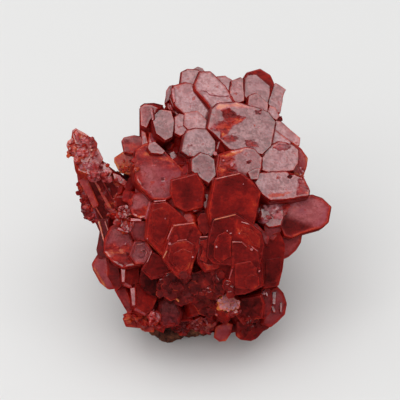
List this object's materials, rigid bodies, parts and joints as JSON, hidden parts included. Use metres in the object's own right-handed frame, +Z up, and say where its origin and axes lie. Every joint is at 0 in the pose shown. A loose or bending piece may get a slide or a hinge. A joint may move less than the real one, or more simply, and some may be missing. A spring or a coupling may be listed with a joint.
{
  "type": "vanadinite specimen",
  "caption": "Cluster of deep red six-sided vanadinite crystals on a brown rock base, stepped flat end faces at the top, a side arm of thin crystals, flat underside to stand on.",
  "frame": {"origin": "on the rock's flat underside, below the middle of the crystal cluster", "axes": "+Z up from the resting plane, +X across the widest extent with the single jutting crystal on the +X side and the arm on the -X side, -Y towards the showing side"},
  "size_m": [0.0403, 0.0386, 0.0363],
  "materials": {
    "vanadinite": "glossy, slightly see-through at thin edges",
    "brown_rock": "matt and pitted"
  },
  "bodies": {
    "root": {"vanadinite_crystals": "vanadinite", "matrix": "brown_rock"}
  },
  "joints": []
}
